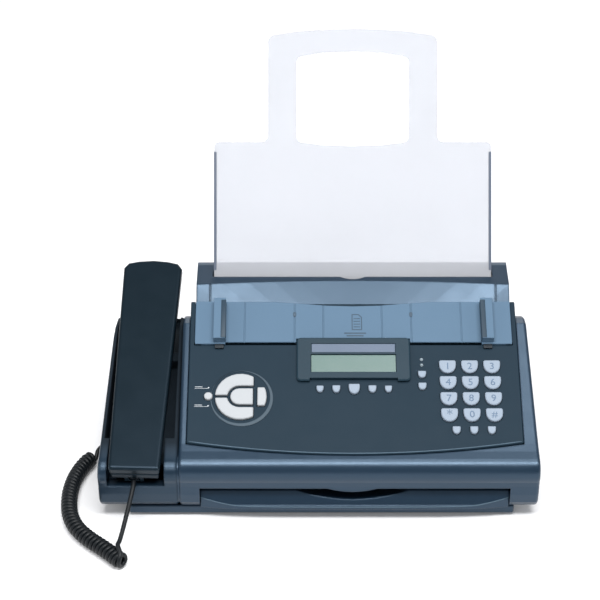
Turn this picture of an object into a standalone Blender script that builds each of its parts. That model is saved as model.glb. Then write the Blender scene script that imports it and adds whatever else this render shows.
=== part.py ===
"""Fax machine: a casing with a hinged control panel, a clear paper support, a handset in its cradle
and the handset's curly cord. Metres, +Z up, +X right, +Y towards the back. The origin is under the
middle of the machine, cord left out, on the surface that it stands on."""

import math

import bmesh
import bpy
from mathutils import Matrix, Vector

# Overall. The casing narrows towards its back. Heights are taken from a datum above the table.
LEFT = -0.1735
RIGHT = 0.1760
LEFT_TAPER = 0.045
RIGHT_TAPER = 0.030
SEAM_X = -0.110
TABLE_Z = -0.0060
GAP = 0.0003
WALL = 0.0022
WELD = 0.00001

# Control panel: a plane that rises towards the back. "Along" runs up it, "up" is square to it.
PANEL_X = 0.030
PANEL_Y = 0.024
PANEL_Z = 0.0555
PANEL_SLOPE = math.radians(27)
PANEL_HALF = 0.1335
PANEL_FRONT = -0.013
PANEL_BOW = 0.0105
PANEL_BACK = 0.1278
PANEL_TOP = 0.0020
PANEL_SKIRT = -0.0045
PANEL_SKIN = 0.0025
HINGE_UP = 0.0026

# Document ledge and its guides
LEDGE_FRONT = 0.0888
LEDGE_HALF = 0.1295
RECESS_FRONT = 0.0862
RECESS_FLOOR = -0.0022
GUIDE_INNER = 0.1045
BLADE_WIDTH = 0.0095
FLANGE_WIDTH = 0.0245
BLADE_TOP = 0.0115
PINION_PITCH = 0.004
PINION_ALONG = 0.1015

# Display
LCD_X = PANEL_X - 0.0003
BEZEL_WIDTH = 0.092
BEZEL_FRONT = 0.0520
BEZEL_BACK = 0.0918
BEZEL_TOP = 0.0055
LCD_WIDTH = 0.0684
LCD_LENGTH = 0.0158
LCD_ALONG = 0.0678
STRIP_ALONG = 0.0818
STRIP_LENGTH = 0.0084

# Keys
KEY_TOP = 0.0043
KEY_FOOT = -0.0030
KEY_CLEARANCE = 0.0004
PAD_PITCH_X = 0.0179
PAD_PITCH_Y = 0.0146
PAD_X = PANEL_X + 0.0757
PAD_ALONG = 0.0215
ROSE_X = PANEL_X - 0.0912
ROSE_ALONG = 0.0382
ROSE_RADIUS = 0.0206
ROSE_CUT = 0.0103
STOP_RADIUS = 0.0073
STOP_GAP = 0.0024
SPLIT_HALF = 0.0012
SIDE_KEY_GAP = 0.0031

# Casing
BODY_BACK = 0.150
REAR_FRONT = 0.1405
REAR_BACK = 0.188
REAR_HALF = 0.130
REAR_X = 0.0303
SOCKET_Z = 0.032
SOCKETS = (("mains_inlet", 0.1250, 0.0100, 0.0045), ("line_socket", -0.0650, 0.0060, 0.0052),
           ("extension_socket", -0.0450, 0.0060, 0.0052))
BASE_LEFT = -0.150
BASE_RIGHT = 0.1575
BASE_BOTTOM = TABLE_Z + 0.0025
BASE_TOP = 0.0044
CASE_BOTTOM = BASE_TOP + GAP
SLOT_LEFT = -0.0932
SLOT_RIGHT = 0.1530
SLOT_TOP = 0.0255

# Paper support: a plane that leans back from the slot. "Up" along it starts at the slot's mouth.
SUPPORT_X = 0.0304
SUPPORT_Y = 0.165
SUPPORT_Z = 0.1235
SUPPORT_LEAN = math.radians(32)
SUPPORT_HALF = 0.1158
SUPPORT_FOOT = -0.022
SUPPORT_SHOULDER = 0.1115
SUPPORT_TOP = 0.2010
SUPPORT_CROWN = 0.0050
LOOP_HALF = 0.0708
HOLE_HALF = 0.0470
HOLE_BOTTOM = 0.1110
HOLE_TOP = 0.1835
SUPPORT_THICK = 0.0022

# Handset and cradle
HANDSET_X = -0.1439
HANDSET_Y = 0.0005
HANDSET_Z = 0.0505
HANDSET_SLOPE = math.radians(21.3)
HANDSET_YAW = math.radians(-1.95)
HANDSET_START = -0.0045
HANDSET_END = 0.1985
HANDSET_FRONT_HALF = 0.0203
HANDSET_BACK_HALF = 0.0246
CRADLE_BACK = 0.176

# Drive
PLATEN_Y = 0.104
PLATEN_Z = 0.062
PLATEN_RADIUS = 0.009
GEAR_X = 0.1440
GEAR_WIDTH = 0.005
PLATEN_TEETH = 44
PINION_TEETH = 12
TOOTH_MODULE = 0.001

# Cord, and the jack in the cradle's side that it plugs into
JACK_X = -0.1650
JACK_Y = 0.0930
JACK_Z = 0.0140
CORD_RADIUS = 0.0018
COIL_RADIUS = 0.0068
COIL_Z = TABLE_Z + COIL_RADIUS + GAP

SUPPORT_REACH = (SUPPORT_TOP + SUPPORT_CROWN) * math.sin(SUPPORT_LEAN)
DEPTH = SUPPORT_Y + SUPPORT_REACH + SUPPORT_THICK * math.cos(SUPPORT_LEAN)


# ---------------------------------------------------------------- outlines

def arc(centre, radii, start, end, steps):
    """Points on an ellipse from one angle to another, in degrees, both ends included."""
    angles = [math.radians(start + (end - start) * i / steps) for i in range(steps + 1)]
    return [(centre[0] + radii[0] * math.cos(a), centre[1] + radii[1] * math.sin(a)) for a in angles]


def rectangle(width, length, radius=0.0, steps=2):
    """A rectangle round (0, 0) with round corners."""
    corners = ((180, -1, -1), (270, 1, -1), (0, 1, 1), (90, -1, 1))
    if radius == 0:
        return [(side_x * width / 2, side_y * length / 2) for _, side_x, side_y in corners]
    points = []
    for start, side_x, side_y in corners:
        centre = (side_x * (width / 2 - radius), side_y * (length / 2 - radius))
        points += arc(centre, (radius, radius), start, start + 90, steps)
    return points


def key_outline(width, length, grow=0.0):
    """A key's cap: straight at the back, round at the front."""
    half = width / 2 + grow
    shoulder = length * 0.15
    corner = width * 0.08
    points = [(half, length / 2 + grow - corner), (half - corner, length / 2 + grow)]
    points += [(-half + corner, length / 2 + grow), (-half, length / 2 + grow - corner)]
    points += arc((0, shoulder), (half, length / 2 + shoulder + grow), 180, 360, 8)
    return points


def round_outline(grow=0.0):
    return arc((0, 0), (0.0034 + grow, 0.0034 + grow), 0, 337.5, 15)


def stop_outline(grow=0.0):
    points = [(ROSE_CUT - 0.0004 + grow, -STOP_RADIUS - grow), (ROSE_CUT - 0.0004 + grow, STOP_RADIUS + grow)]
    radius = STOP_RADIUS + grow
    return points + arc((-0.001, 0), (radius, radius), 90, 270, 8)


def side_key_outline(grow=0.0):
    half = 0.0082 + grow
    radius = ROSE_RADIUS + 0.0003 + grow
    angle = math.degrees(math.asin(half / radius))
    points = [(ROSE_CUT + SIDE_KEY_GAP - grow, half), (ROSE_CUT + SIDE_KEY_GAP - grow, -half)]
    return points + arc((0, 0), (radius, radius), -angle, angle, 4)


def rose_outline(side, grow=0.0):
    """The upper (side 1) or lower (side -1) white key that wraps round the stop key."""
    radius = ROSE_RADIUS + grow
    inner = STOP_RADIUS + STOP_GAP - grow
    split = SPLIT_HALF - grow
    cut = ROSE_CUT + grow
    outer_angle = math.degrees(math.acos(cut / radius))
    outer_end = 180 - math.degrees(math.asin(split / radius))
    inner_end = 180 - math.degrees(math.asin(split / inner))
    points = arc((0, 0), (radius, radius), outer_angle, outer_end, 9)
    points += arc((-0.001, 0), (inner, inner), inner_end, 90, 5)
    points += [(cut, inner)]
    if side < 0:
        points = [(x, -y) for x, y in reversed(points)]
    return points


def panel_outline(grow=0.0):
    """The control panel seen square on, with its bowed front edge."""
    half = PANEL_HALF + grow
    steps = 12
    points = []
    for i in range(steps + 1):
        x = -half + 2 * half * i / steps
        points.append((x, PANEL_FRONT - grow + PANEL_BOW * (x / half) ** 2))
    return points + [(half, PANEL_BACK), (-half, PANEL_BACK)]


def moved(points, x, y):
    return [(px + x, py + y) for px, py in points]


# ---------------------------------------------------------------- objects

def collection_named(name):
    made = bpy.data.collections.new(name)
    bpy.context.scene.collection.children.link(made)
    return made


def material(name, colour, roughness, metallic=0.0, transmission=0.0):
    made = bpy.data.materials.new(name)
    made.use_nodes = True
    shader = made.node_tree.nodes["Principled BSDF"]
    shader.inputs["Base Color"].default_value = (*colour, 1)
    shader.inputs["Roughness"].default_value = roughness
    shader.inputs["Metallic"].default_value = metallic
    shader.inputs["Transmission Weight"].default_value = transmission
    made.diffuse_color = (*colour, 1)
    return made


def clear_scene():
    for obj in list(bpy.data.objects):
        bpy.data.objects.remove(obj, do_unlink=True)


def empty(name, location, rotation=(0, 0, 0), parent=None):
    made = bpy.data.objects.new(name, None)
    made.location = location
    made.rotation_euler = rotation
    made.parent = parent
    parts.objects.link(made)
    return made


def place(name, mesh, parent, location, paint):
    """Makes a mesh into a sub-part under its parent empty."""
    made = bpy.data.objects.new(name, mesh)
    made.location = location
    made.parent = parent
    mesh.materials.clear()
    mesh.materials.append(paint)
    parts.objects.link(made)
    return made


def mesh_of(curve_object):
    """A curve object as a closed mesh, with its caps welded on."""
    bpy.context.scene.collection.objects.link(curve_object)
    graph = bpy.context.evaluated_depsgraph_get()
    mesh = bpy.data.meshes.new_from_object(curve_object.evaluated_get(graph))
    mesh.transform(curve_object.matrix_world)
    bpy.data.objects.remove(curve_object)
    work = bmesh.new()
    work.from_mesh(mesh)
    bmesh.ops.remove_doubles(work, verts=work.verts, dist=WELD)
    bmesh.ops.dissolve_limit(work, angle_limit=0.001, verts=work.verts, edges=work.edges)
    bmesh.ops.recalc_face_normals(work, faces=work.faces)
    work.to_mesh(mesh)
    work.free()
    return mesh


def flat(name, loops, low, high):
    """Closed outlines in XY, filled from z = low to z = high. An outline inside another is a hole."""
    curve = bpy.data.curves.new(name, "CURVE")
    curve.dimensions = "2D"
    curve.fill_mode = "BOTH"
    curve.extrude = (high - low) / 2
    for loop in loops:
        spline = curve.splines.new("POLY")
        spline.points.add(len(loop) - 1)
        for point, (x, y) in zip(spline.points, loop):
            point.co = (x, y, 0, 1)
        spline.use_cyclic_u = True
    mesh = mesh_of(bpy.data.objects.new(name, curve))
    mesh.transform(Matrix.Translation((0, 0, (low + high) / 2)))
    return mesh


def side_profile(name, outline, left, right):
    """A closed outline in the YZ plane, carried along X from left to right."""
    mesh = flat(name, [outline], left, right)
    mesh.transform(Matrix(((0, 0, 1, 0), (1, 0, 0, 0), (0, 1, 0, 0), (0, 0, 0, 1))))
    return mesh


def block(name, low, high):
    """A box between two corners, given in either order."""
    mesh = bpy.data.meshes.new(name)
    work = bmesh.new()
    size = [b - a for a, b in zip(low, high)]
    middle = [(a + b) / 2 for a, b in zip(low, high)]
    bmesh.ops.create_cube(work, size=1, matrix=Matrix.Translation(middle) @ Matrix.Diagonal((*size, 1)))
    bmesh.ops.recalc_face_normals(work, faces=work.faces)
    work.to_mesh(mesh)
    work.free()
    return mesh


def narrowed(mesh, taper, beyond=0.0):
    """Leans the side of a mesh that lies beyond an x inwards towards the back."""
    for vertex in mesh.vertices:
        if (vertex.co.x - beyond) * taper < 0:
            vertex.co.x += taper * vertex.co.y
    return mesh


def arched(mesh, ridge, shift, cuts):
    """Moves a ridge that runs along X, most in the middle and not at all at its ends. The ridge and its
    shift are in the YZ plane."""
    work = bmesh.new()
    work.from_mesh(mesh)
    left = min(vertex.co.x for vertex in work.verts)
    right = max(vertex.co.x for vertex in work.verts)
    for i in range(1, cuts):
        place_at = (left + (right - left) * i / cuts, 0, 0)
        geometry = work.verts[:] + work.edges[:] + work.faces[:]
        bmesh.ops.bisect_plane(work, geom=geometry, plane_co=place_at, plane_no=(1, 0, 0))
    for vertex in work.verts:
        if (vertex.co.yz - Vector(ridge)).length < WELD:
            across = (2 * vertex.co.x - left - right) / (right - left)
            vertex.co.y += shift[0] * (1 - across ** 2)
            vertex.co.z += shift[1] * (1 - across ** 2)
    bmesh.ops.triangulate(work, faces=work.faces)
    work.to_mesh(mesh)
    work.free()
    return mesh


def turned(name, profile, steps):
    """A profile of (radius, x) pairs turned round the X axis; it starts and ends on the axis."""
    mesh = bpy.data.meshes.new(name)
    points = [(radius, 0, x) for radius, x in profile]
    mesh.from_pydata(points, [(i, i + 1) for i in range(len(points) - 1)], [])
    helper = bpy.data.objects.new(name, mesh)
    bpy.context.scene.collection.objects.link(helper)
    screw = helper.modifiers.new("turn", "SCREW")
    screw.axis = "Z"
    screw.steps = steps
    screw.render_steps = steps
    screw.use_merge_vertices = True
    screw.merge_threshold = WELD
    graph = bpy.context.evaluated_depsgraph_get()
    solid = bpy.data.meshes.new_from_object(helper.evaluated_get(graph))
    bpy.data.objects.remove(helper)
    solid.transform(Matrix.Rotation(math.pi / 2, 4, "Y"))
    work = bmesh.new()
    work.from_mesh(solid)
    bmesh.ops.remove_doubles(work, verts=work.verts, dist=WELD)
    bmesh.ops.recalc_face_normals(work, faces=work.faces)
    work.to_mesh(solid)
    work.free()
    return solid


def smooth(obj, angle=35):
    obj.data.shade_smooth()
    obj.data.set_sharp_from_angle(angle=math.radians(angle))


def bevel(obj, width, segments=2, angle=40):
    made = obj.modifiers.new("bevel", "BEVEL")
    made.width = width
    made.segments = segments
    made.limit_method = "ANGLE"
    made.angle_limit = math.radians(angle)


def boolean(obj, mesh, operation="DIFFERENCE", location=(0, 0, 0)):
    """Cuts a mesh from a sub-part, or joins it on, in the frame of the sub-part's parent."""
    tool = bpy.data.objects.new(f"{obj.name}_{mesh.name}", mesh)
    tool.parent = obj.parent
    tool.location = location
    tool.hide_render = True
    tool.display_type = "WIRE"
    cutters.objects.link(tool)
    made = obj.modifiers.new(mesh.name, "BOOLEAN")
    made.operation = operation
    made.solver = "EXACT"
    made.object = tool


# ---------------------------------------------------------------- casing

def front_curve():
    """The casing's front in side view, from its bottom edge over the bulge to the panel's plane."""
    points = [(0.0068, CASE_BOTTOM), (0.0026, 0.0110), (0.0016, 0.0190), (0.0016, 0.0270)]
    return points + arc((0.0130, 0.0370), (0.0130, 0.0135), 204, 112, 16) + [(0.0150, 0.0520)]


def panel_side_point(along, up):
    """A point of the panel's plane in side view."""
    cos, sin = math.cos(PANEL_SLOPE), math.sin(PANEL_SLOPE)
    return PANEL_Y + along * cos - up * sin, PANEL_Z + along * sin + up * cos


def main_housing():
    rim = 0.0005
    top = [panel_side_point(-0.0025, rim), panel_side_point(0.1080, rim)]
    back = arc((0.1230, 0.0780), (0.0270, 0.0270), 78, 0, 5) + [(BODY_BACK, CASE_BOTTOM)]
    mesh = side_profile("outside", front_curve() + top + back, SEAM_X + GAP, RIGHT)
    obj = place("main_housing", narrowed(mesh, -RIGHT_TAPER), machine, (0, 0, 0), slate)
    bevel(obj, 0.0024, 3, 50)
    inner_back = BODY_BACK - WALL
    inside_floor = CASE_BOTTOM + WALL
    inside = [(0.0076, inside_floor), (0.0046, 0.0280)] + arc((0.0150, 0.0365), (0.0120, 0.0115), 190, 115, 4)
    inside += [panel_side_point(-0.003, rim - WALL * 1.3), panel_side_point(0.107, rim - WALL * 1.3)]
    inside += arc((0.1230, 0.0780), (0.0270 - WALL, 0.0270 - WALL), 76, 0, 4) + [(inner_back, inside_floor)]
    hollow = side_profile("inside", inside, SEAM_X + WALL, RIGHT - WALL)
    boolean(obj, narrowed(hollow, -RIGHT_TAPER))
    base_high = (BASE_RIGHT - WALL, BODY_BACK - WALL, 0.02)
    boolean(obj, block("base_opening", (SEAM_X + WALL, 0.0100, -0.01), base_high))
    opening = flat("panel_opening", [panel_outline(0.0005)], -0.012, 0.012)
    opening.transform(Matrix.Translation((PANEL_X, PANEL_Y, PANEL_Z)) @ Matrix.Rotation(PANEL_SLOPE, 4, "X"))
    boolean(obj, opening)
    back_low = (REAR_X - REAR_HALF - 0.0005, REAR_FRONT - 0.0008, -0.01)
    boolean(obj, block("rear_opening", back_low, (REAR_X + REAR_HALF + 0.0005, 0.2, 0.2)))
    middle = PANEL_X - 0.002
    slot = [(SLOT_LEFT, -0.01), (SLOT_RIGHT, -0.01), (SLOT_RIGHT, SLOT_TOP)]
    slot += arc((middle, SLOT_TOP + 0.0565), (0.060, 0.060), 289, 251, 6) + [(SLOT_LEFT, SLOT_TOP)]
    cut = flat("exit_slot", [slot], -0.02, 0.02)
    cut.transform(Matrix.Rotation(math.pi / 2, 4, "X"))
    boolean(obj, cut, location=(0, -0.008, 0))
    smooth(obj)


def rear_housing():
    """The hump behind the panel that the paper is loaded through."""
    ridge = (0.1530, 0.1220)
    outside = [(REAR_FRONT, CASE_BOTTOM), (REAR_FRONT, 0.1090), ridge, (0.1800, 0.1248)]
    outside += arc((0.1830, 0.1198), (0.0050, 0.0050), 75, 0, 3) + [(REAR_BACK, CASE_BOTTOM)]
    left, right = REAR_X - REAR_HALF, REAR_X + REAR_HALF
    mesh = arched(side_profile("outside", outside, left, right), ridge, (0.0052, 0.0005), 12)
    obj = place("rear_housing", mesh, machine, (0, 0, 0), slate)
    bevel(obj, 0.0015, 2, 28)
    inside = [(0.1300, -0.01), (0.1300, 0.1045), (0.1405, 0.1060), (0.1600, 0.1196), (0.1810, 0.1220)]
    inside += [(REAR_BACK - WALL, 0.1180), (REAR_BACK - WALL, -0.01)]
    boolean(obj, side_profile("inside", inside, left + WALL, right - WALL))
    slot_left, slot_right = SUPPORT_X - SUPPORT_HALF - 0.001, SUPPORT_X + SUPPORT_HALF + 0.001
    lean = math.tan(SUPPORT_LEAN)
    near, far = SUPPORT_Y - 0.0012, SUPPORT_Y + 0.0070
    slot = [(near - 0.03 * lean, SUPPORT_Z - 0.03), (far - 0.03 * lean, SUPPORT_Z - 0.03)]
    slot += [(far + 0.01 * lean, SUPPORT_Z + 0.01), (near + 0.01 * lean, SUPPORT_Z + 0.01)]
    boolean(obj, side_profile("paper_slot", slot, slot_left, slot_right))
    notch = arc((0, 0), (0.019, 0.019), 234.6, 305.4, 8) + [(0.011, -0.0125), (-0.011, -0.0125)]
    boolean(obj, flat("thumb_notch", [notch], -0.006, 0.004), location=(SUPPORT_X, near + 0.0155, SUPPORT_Z))
    for side in (-1, 1):
        x = SUPPORT_X + side * (SUPPORT_HALF + 0.0028)
        across = [(0.1385, 0.1060), (0.1545, 0.1212), (0.15, 0.13), (0.13, 0.12)]
        groove = side_profile(f"groove_{side}", across, x - 0.0006, x + 0.0006)
        boolean(obj, groove)
    for name, x, half_width, half_height in SOCKETS:
        low = (x - half_width, REAR_BACK - 0.006, SOCKET_Z - half_height)
        boolean(obj, block(name, low, (x + half_width, REAR_BACK + 0.01, SOCKET_Z + half_height)))
    smooth(obj)


def bottom_housing():
    left, right = BASE_LEFT, BASE_RIGHT
    outline = [(left, 0.007), (right, 0.007), (right, REAR_BACK - 0.002)]
    step = REAR_X - REAR_HALF + 0.002
    outline += [(step, REAR_BACK - 0.002), (step, 0.146), (left, 0.146)]
    obj = place("bottom_housing", flat("tray", [outline], BASE_BOTTOM, BASE_TOP), machine, (0, 0, 0), slate)
    bevel(obj, 0.001, 1, 50)
    hollow_low = (left + WALL, 0.007 + WALL, BASE_BOTTOM + WALL)
    boolean(obj, block("hollow", hollow_low, (right - WALL, 0.144, 0.02)))
    smooth(obj)


def exit_tray():
    """The flap below the slot at the front: its face slopes down to a lip that curves back at its ends."""
    middle = (SLOT_LEFT + SLOT_RIGHT) / 2
    half = (SLOT_RIGHT - SLOT_LEFT) / 2 - 0.0005
    low = BASE_TOP + GAP
    outline = [(0.0240, 0.0206), (0.0084, 0.0200), (0.0070, 0.0190), (0.0018, 0.0084)]
    outline += arc((0.0012, 0.0068), (0.0014, 0.0014), 110, 240, 4)
    outline += [(0.0022, low), (0.0120, low), (0.0240, 0.0090)]
    obj = place("exit_tray", side_profile("exit_tray", outline, middle - half, middle + half), machine,
                (0, 0, 0), slate)
    front = []
    steps = 16
    for i in range(steps + 1):
        x = -half - 0.001 + (2 * half + 0.002) * i / steps
        front.append((middle + x, -0.0002 + 0.0047 * (x / half) ** 4))
    back = [(middle + half + 0.001, 0.05), (middle - half - 0.001, 0.05)]
    boolean(obj, flat("plan", [front + back], 0, 0.03), "INTERSECT")
    scoop = flat("scoop", [arc((PANEL_X - 0.002, 0.1627), (0.150, 0.150), 250, 290, 12)], -0.03, 0.03)
    scoop.transform(Matrix.Rotation(math.pi / 2, 4, "X"))
    boolean(obj, scoop)
    smooth(obj)


def feet():
    for name, x, y in (("front_left", -0.134, 0.022), ("front_right", 0.142, 0.022),
                       ("rear_left", -0.082, 0.172), ("rear_right", 0.142, 0.172)):
        mesh = turned("foot", [(0, 0), (0.0062, 0), (0.0068, 0.0007), (0.0068, 0.0022), (0, 0.0022)], 16)
        mesh.transform(Matrix.Rotation(-math.pi / 2, 4, "Y"))
        smooth(place(f"foot_{name}", mesh, machine, (x, y, TABLE_Z), rubber))


# ---------------------------------------------------------------- inside

def gear(name, teeth, width, bore=0.0):
    """A spur gear along X, with straight-sided teeth."""
    pitch = teeth * TOOTH_MODULE / 2
    outline = []
    for tooth in range(teeth):
        for radius, part in ((-1.1, 0.0), (-1.1, 0.44), (0.75, 0.58), (0.75, 0.86)):
            angle = 2 * math.pi * (tooth + part) / teeth
            reach = pitch + radius * TOOTH_MODULE
            outline.append((reach * math.cos(angle), reach * math.sin(angle)))
    return side_profile(name, outline, -width / 2, width / 2)


def platen_roller():
    shaft = 0.003
    left, right = -0.088 - GEAR_X, 0.128 - GEAR_X
    profile = [(0, left - 0.017), (shaft, left - 0.017), (shaft, left), (PLATEN_RADIUS, left)]
    profile += [(PLATEN_RADIUS, right), (shaft, right), (shaft, 0.024), (0, 0.024)]
    obj = place("platen_roller", turned("roller", profile, 16), empty_on_axis("platen", PLATEN_Y, PLATEN_Z),
                (0, 0, 0), rubber)
    boolean(obj, gear("platen_gear", PLATEN_TEETH, GEAR_WIDTH), "UNION")
    smooth(obj)


def empty_on_axis(name, y, z, x=GEAR_X):
    return empty(f"{name}_axis", (x, y, z), parent=machine)


def drive():
    reach = (PLATEN_TEETH + PINION_TEETH) * TOOTH_MODULE / 2 + 0.0006
    angle = math.radians(211)
    y, z = PLATEN_Y + reach * math.cos(angle), PLATEN_Z + reach * math.sin(angle)
    axis = empty_on_axis("motor", y, z)
    place("motor_pinion", gear("pinion", PINION_TEETH, GEAR_WIDTH), axis, (0, 0, 0), nylon)
    profile = [(0, 0.0038), (0.006, 0.0038), (0.018, 0.0040), (0.018, 0.0255), (0.017, 0.0262), (0, 0.0262)]
    smooth(place("drive_motor", turned("motor", profile, 20), axis, (0, 0, 0), steel))


def film_rolls():
    for name, radius, y, z in (("film_supply_roll", 0.0135, 0.062, 0.047),
                               ("film_take_up_roll", 0.009, 0.036, 0.041)):
        profile = [(0, -0.110), (0.005, -0.110), (0.005, -0.103), (radius, -0.103), (radius, 0.103)]
        profile += [(0.005, 0.103), (0.005, 0.110), (0, 0.110)]
        axis = empty_on_axis(name, y, z, 0.006)
        smooth(place(name, turned(name, profile, 16), axis, (0, 0, 0), film))


def document_roller():
    profile = [(0, -0.110), (0.0025, -0.110), (0.0025, -0.070), (0.006, -0.070), (0.006, 0.070)]
    profile += [(0.0025, 0.070), (0.0025, 0.110), (0, 0.110)]
    axis = empty_on_axis("document", 0.118, 0.087, 0.030)
    smooth(place("document_roller", turned("document_roller", profile, 16), axis, (0, 0, 0), rubber))


def boards():
    mesh = block("board", (-0.090, 0.048, 0.0075), (0.150, 0.138, 0.0091))
    board = place("main_board", mesh, machine, (0, 0, 0), circuit)
    boolean(board, block("transformer", (0.105, 0.102, 0.009), (0.145, 0.134, 0.034)), "UNION")
    boolean(board, block("processor", (-0.03, 0.075, 0.009), (-0.004, 0.101, 0.0125)), "UNION")
    head = block("print_head", (-0.088, 0.080, 0.0560), (0.128, 0.0935, 0.0680))
    place("print_head", head, machine, (0, 0, 0), steel)


# ---------------------------------------------------------------- control panel

def panel_place(name, mesh, x, along, paint, parent=None):
    """Puts a sub-part on the panel: x from the machine's middle, along from the panel's own zero."""
    return place(name, mesh, parent or panel, (x - PANEL_X, along - PANEL_BACK, -HINGE_UP), paint)


def key_list():
    """Every key: name, x, along, outline function."""
    keys = []
    for row in range(4):
        for column in range(3):
            number = row * 3 + column + 1
            label = {10: "star", 11: "0", 12: "hash"}.get(number, str(number))
            keys.append((f"key_{label}", PAD_X + column * PAD_PITCH_X, PAD_ALONG + (3 - row) * PAD_PITCH_Y,
                         lambda grow=0.0: key_outline(0.0136, 0.0118, grow)))
    for i, x in enumerate((0.0807, 0.0947, 0.1087)):
        keys.append((f"option_key_{i + 1}", PANEL_X + x, 0.0080,
                     lambda grow=0.0: key_outline(0.0064, 0.0066, grow)))
    for i, (x, size) in enumerate(((-0.0275, 0.0058), (-0.0144, 0.0064), (0.0000, 0.0090), (0.0146, 0.0064),
                                   (0.0275, 0.0058))):
        keys.append((f"menu_key_{i + 1}", PANEL_X + x, 0.0451,
                     lambda grow=0.0, size=size: key_outline(size, size, grow)))
    for i, along in enumerate((0.0584, 0.0476)):
        keys.append((f"side_key_{i + 1}", PANEL_X + 0.0549, along,
                     lambda grow=0.0: key_outline(0.0066, 0.0062, grow)))
    keys.append(("copy_key", ROSE_X, ROSE_ALONG, lambda grow=0.0: rose_outline(1, grow)))
    keys.append(("start_key", ROSE_X, ROSE_ALONG, lambda grow=0.0: rose_outline(-1, grow)))
    keys.append(("stop_key", ROSE_X, ROSE_ALONG, stop_outline))
    keys.append(("hands_free_key", ROSE_X, ROSE_ALONG, side_key_outline))
    keys.append(("mode_key", PANEL_X - 0.1171, 0.0386, round_outline))
    return keys


def control_panel():
    obj = place("control_panel", flat("panel", [panel_outline()], PANEL_SKIRT, PANEL_TOP), panel,
                (0, -PANEL_BACK, -HINGE_UP), slate)
    bevel(obj, 0.0007, 1, 60)
    at = (0, -PANEL_BACK, -HINGE_UP)
    skirt = 0.003
    below = block("under_side", (-PANEL_HALF + skirt, 0.001, -0.01),
                  (PANEL_HALF - skirt, RECESS_FRONT - 0.003, PANEL_TOP - PANEL_SKIN))
    boolean(obj, below, location=at)
    recess = block("ledge_recess", (-LEDGE_HALF - GAP, RECESS_FRONT, RECESS_FLOOR),
                   (LEDGE_HALF + GAP, PANEL_BACK + 0.01, 0.01))
    boolean(obj, recess, location=at)
    holes = [moved(outline(KEY_CLEARANCE), x - PANEL_X, along) for _, x, along, outline in key_list()]
    lcd = rectangle(LCD_WIDTH + 2 * GAP, LCD_LENGTH + 2 * GAP)
    holes.append(moved(lcd, LCD_X - PANEL_X, LCD_ALONG))
    boolean(obj, flat("key_holes", holes, -0.02, 0.02), location=at)
    smooth(obj)


def display():
    """The display's raised frame, and its screen, which comes up through the panel."""
    front = BEZEL_FRONT
    middle = (BEZEL_BACK + front) / 2
    frame = flat("bezel", [rectangle(BEZEL_WIDTH, BEZEL_BACK - front, 0.003)], PANEL_TOP + GAP, BEZEL_TOP)
    obj = panel_place("lcd_bezel", frame, LCD_X, middle, grey)
    bevel(obj, 0.0010, 1, 60)
    window = moved(rectangle(LCD_WIDTH + 2 * GAP, LCD_LENGTH + 2 * GAP), 0, LCD_ALONG - middle)
    boolean(obj, flat("window", [window], 0, 0.01), location=obj.location)
    strip_front = STRIP_ALONG - middle - STRIP_LENGTH / 2
    strip_low = (-LCD_WIDTH / 2, strip_front, BEZEL_TOP - 0.0008)
    boolean(obj, block("label_recess", strip_low, (LCD_WIDTH / 2, strip_front + STRIP_LENGTH, 0.01)),
            location=obj.location)
    legs = block("leg_gap", (-0.0355, -0.03, 0), (0.0355, front - middle + 0.0022, 0.01))
    boolean(obj, legs, location=obj.location)
    smooth(obj)
    half_width, half_length = LCD_WIDTH / 2, LCD_LENGTH / 2
    high = (half_width, half_length, BEZEL_TOP - 0.0010)
    screen = block("screen", (-half_width, -half_length, -0.0005), high)
    panel_place("lcd_screen", screen, LCD_X, LCD_ALONG, glass)


def document_ledge():
    half = LEDGE_HALF
    top = 0.0026
    wave = []
    for i in range(13):
        x = half - 2 * half * i / 12
        dip = 0.0042 * max(0.0, 1 - (x / 0.055) ** 2)
        wave.append((x, PANEL_BACK - 0.0006 - dip))
    outline = [(-half, LEDGE_FRONT), (half, LEDGE_FRONT)] + wave
    obj = panel_place("document_ledge", flat("ledge", [outline], 0.0006, top), PANEL_X, 0.0, blue)
    bevel(obj, 0.0004, 1, 60)
    notch_half = BEZEL_WIDTH / 2 + 0.0004
    notch_x = LCD_X - PANEL_X
    notch_high = (notch_x + notch_half, BEZEL_BACK + 0.0004, 0.01)
    notch = block("display_notch", (notch_x - notch_half, 0, 0), notch_high)
    boolean(obj, notch, location=obj.location)
    for i, x in enumerate((-0.089, -0.048, -0.0245, 0.0235, 0.0475, 0.0885)):
        groove = block(f"groove_{i}", (x - 0.0006, LEDGE_FRONT - 0.01, top - 0.0006), (x + 0.0006, 0.2, 0.01))
        boolean(obj, groove, location=obj.location)
    smooth(obj)


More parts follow.
